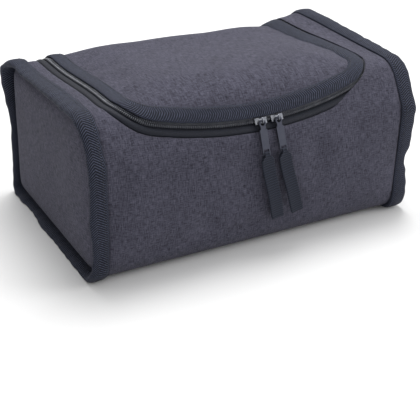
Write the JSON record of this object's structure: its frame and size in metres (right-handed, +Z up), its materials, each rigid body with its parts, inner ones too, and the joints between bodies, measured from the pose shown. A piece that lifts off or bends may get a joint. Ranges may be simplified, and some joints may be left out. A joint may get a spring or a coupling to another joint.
{
  "type": "hanging toiletry bag",
  "caption": "Soft box-shaped toiletry bag with bound end seams, a zipped U-shaped lid, a strap across the back and a fold-out swivel hook under the lid.",
  "frame": {"origin": "centre of the base's underside", "axes": "+X along the length, -Y the front with the zip pulls, +Z up"},
  "size_m": [0.308, 0.2078, 0.142],
  "materials": {
    "outer_cloth": "dark grey heather weave",
    "foam": "soft foam",
    "board": "stiff plastic sheet",
    "lining_cloth": "smooth grey lining",
    "binding_tape": "herringbone tape",
    "zip_tape": "smooth woven tape",
    "zip_coil": "nylon coil",
    "slider_metal": "plated die-cast metal",
    "puller_metal": "gunmetal plate",
    "webbing": "ribbed webbing",
    "elastic": "woven elastic",
    "mesh": "open mesh",
    "hook_plastic": "moulded acetal"
  },
  "bodies": {
    "bag": {"front_panel": "outer_cloth", "back_panel": "outer_cloth", "base_panel": "outer_cloth", "top_strip_left": "outer_cloth", "top_strip_right": "outer_cloth", "end_panel_left": "outer_cloth", "end_panel_right": "outer_cloth", "binding_left": "binding_tape", "binding_right": "binding_tape", "front_foam": "foam", "back_foam": "foam", "base_board": "board", "end_foam_left": "foam", "end_foam_right": "foam", "lining": "lining_cloth", "seam_tape_inside": "binding_tape", "zip_tape_body": "zip_tape", "zip_coil_body": "zip_coil", "zip_end_tab_left": "zip_tape", "zip_end_tab_right": "zip_tape", "strap_anchor_left": "webbing", "strap_anchor_right": "webbing", "strap_elastic_left": "elastic", "strap_elastic_right": "elastic"},
    "lid": {"lid_panel": "outer_cloth", "lid_foam": "foam", "lid_lining": "lining_cloth", "lid_binding": "binding_tape", "zip_tape_lid": "zip_tape", "zip_coil_lid": "zip_coil", "mesh_pocket": "mesh", "mesh_binding": "binding_tape", "pocket_zip_tape": "zip_tape", "pocket_zip_coil": "zip_coil", "hook_tab": "webbing"},
    "strap": {"strap_panel": "outer_cloth"},
    "slider_left": {"slider_left": "slider_metal"},
    "puller_left": {"puller_left": "puller_metal"},
    "ribbon_left": {"ribbon_left": "webbing"},
    "slider_right": {"slider_right": "slider_metal"},
    "puller_right": {"puller_right": "puller_metal"},
    "ribbon_right": {"ribbon_right": "webbing"},
    "pocket_slider": {"pocket_slider": "slider_metal"},
    "pocket_puller": {"pocket_puller": "puller_metal"},
    "hook_frame": {"hook_frame": "hook_plastic"},
    "hook": {"hook": "hook_plastic"}
  },
  "joints": [
    {"name": "lid_hinge", "type": "hinge", "parent": "bag", "child": "lid", "pos_m": [0, 0.09452, 0.12303], "axis": [-1, 0, 0], "range_deg": [0, 180]},
    {"name": "zip_left", "type": "hinge", "parent": "bag", "child": "slider_left", "pos_m": [0, 0.09314, 0.41563], "axis": [0, -0.8572, 0.515], "range_deg": [-9, 0]},
    {"name": "zip_right", "type": "hinge", "parent": "bag", "child": "slider_right", "pos_m": [0, 0.09314, 0.41563], "axis": [0, -0.8572, 0.515], "range_deg": [0, 7]},
    {"name": "puller_left_flip", "type": "hinge", "parent": "slider_left", "child": "puller_left", "pos_m": [-0.00184, -0.0916, 0.11592], "axis": [-1, 0.0027, 0.0045], "range_deg": [0, 110]},
    {"name": "puller_right_flip", "type": "hinge", "parent": "slider_right", "child": "puller_right", "pos_m": [0.01351, -0.09147, 0.11614], "axis": [-0.9993, -0.0198, -0.0329], "range_deg": [0, 110]},
    {"name": "ribbon_left_swing", "type": "hinge", "parent": "puller_left", "child": "ribbon_left", "pos_m": [-0.00198, -0.10179, 0.0907], "axis": [-1, 0.0027, 0.0045], "range_deg": [0, 60]},
    {"name": "ribbon_right_swing", "type": "hinge", "parent": "puller_right", "child": "ribbon_right", "pos_m": [0.01455, -0.10165, 0.09094], "axis": [-0.9993, -0.0198, -0.0329], "range_deg": [0, 60]},
    {"name": "hook_fold", "type": "hinge", "parent": "lid", "child": "hook_frame", "pos_m": [0, -0.06, 0.1255], "axis": [-1, 0, 0], "range_deg": [0, 144]},
    {"name": "hook_swivel", "type": "hinge", "parent": "hook_frame", "child": "hook", "pos_m": [0, -0.05, 0.1255], "axis": [0, 1, 0], "range_deg": [0, 180]},
    {"name": "strap_stretch", "type": "slide", "parent": "bag", "child": "strap", "axis": [0, 1, 0], "range_m": [0, 0.014], "stiffness_N_per_m": 250, "deforming": ["strap_elastic_left", "strap_elastic_right"]},
    {"name": "pocket_zip", "type": "slide", "parent": "lid", "child": "pocket_slider", "axis": [1, 0, 0], "range_m": [0, 0.14]},
    {"name": "pocket_puller_swing", "type": "hinge", "parent": "pocket_slider", "child": "pocket_puller", "pos_m": [-0.0728, 0.022, 0.127], "axis": [1, 0, 0], "range_deg": [-80, 80]}
  ],
  "couplings": [
    {"joint": "hook_fold", "follows": "lid_hinge", "ratio": 0.8}
  ]
}
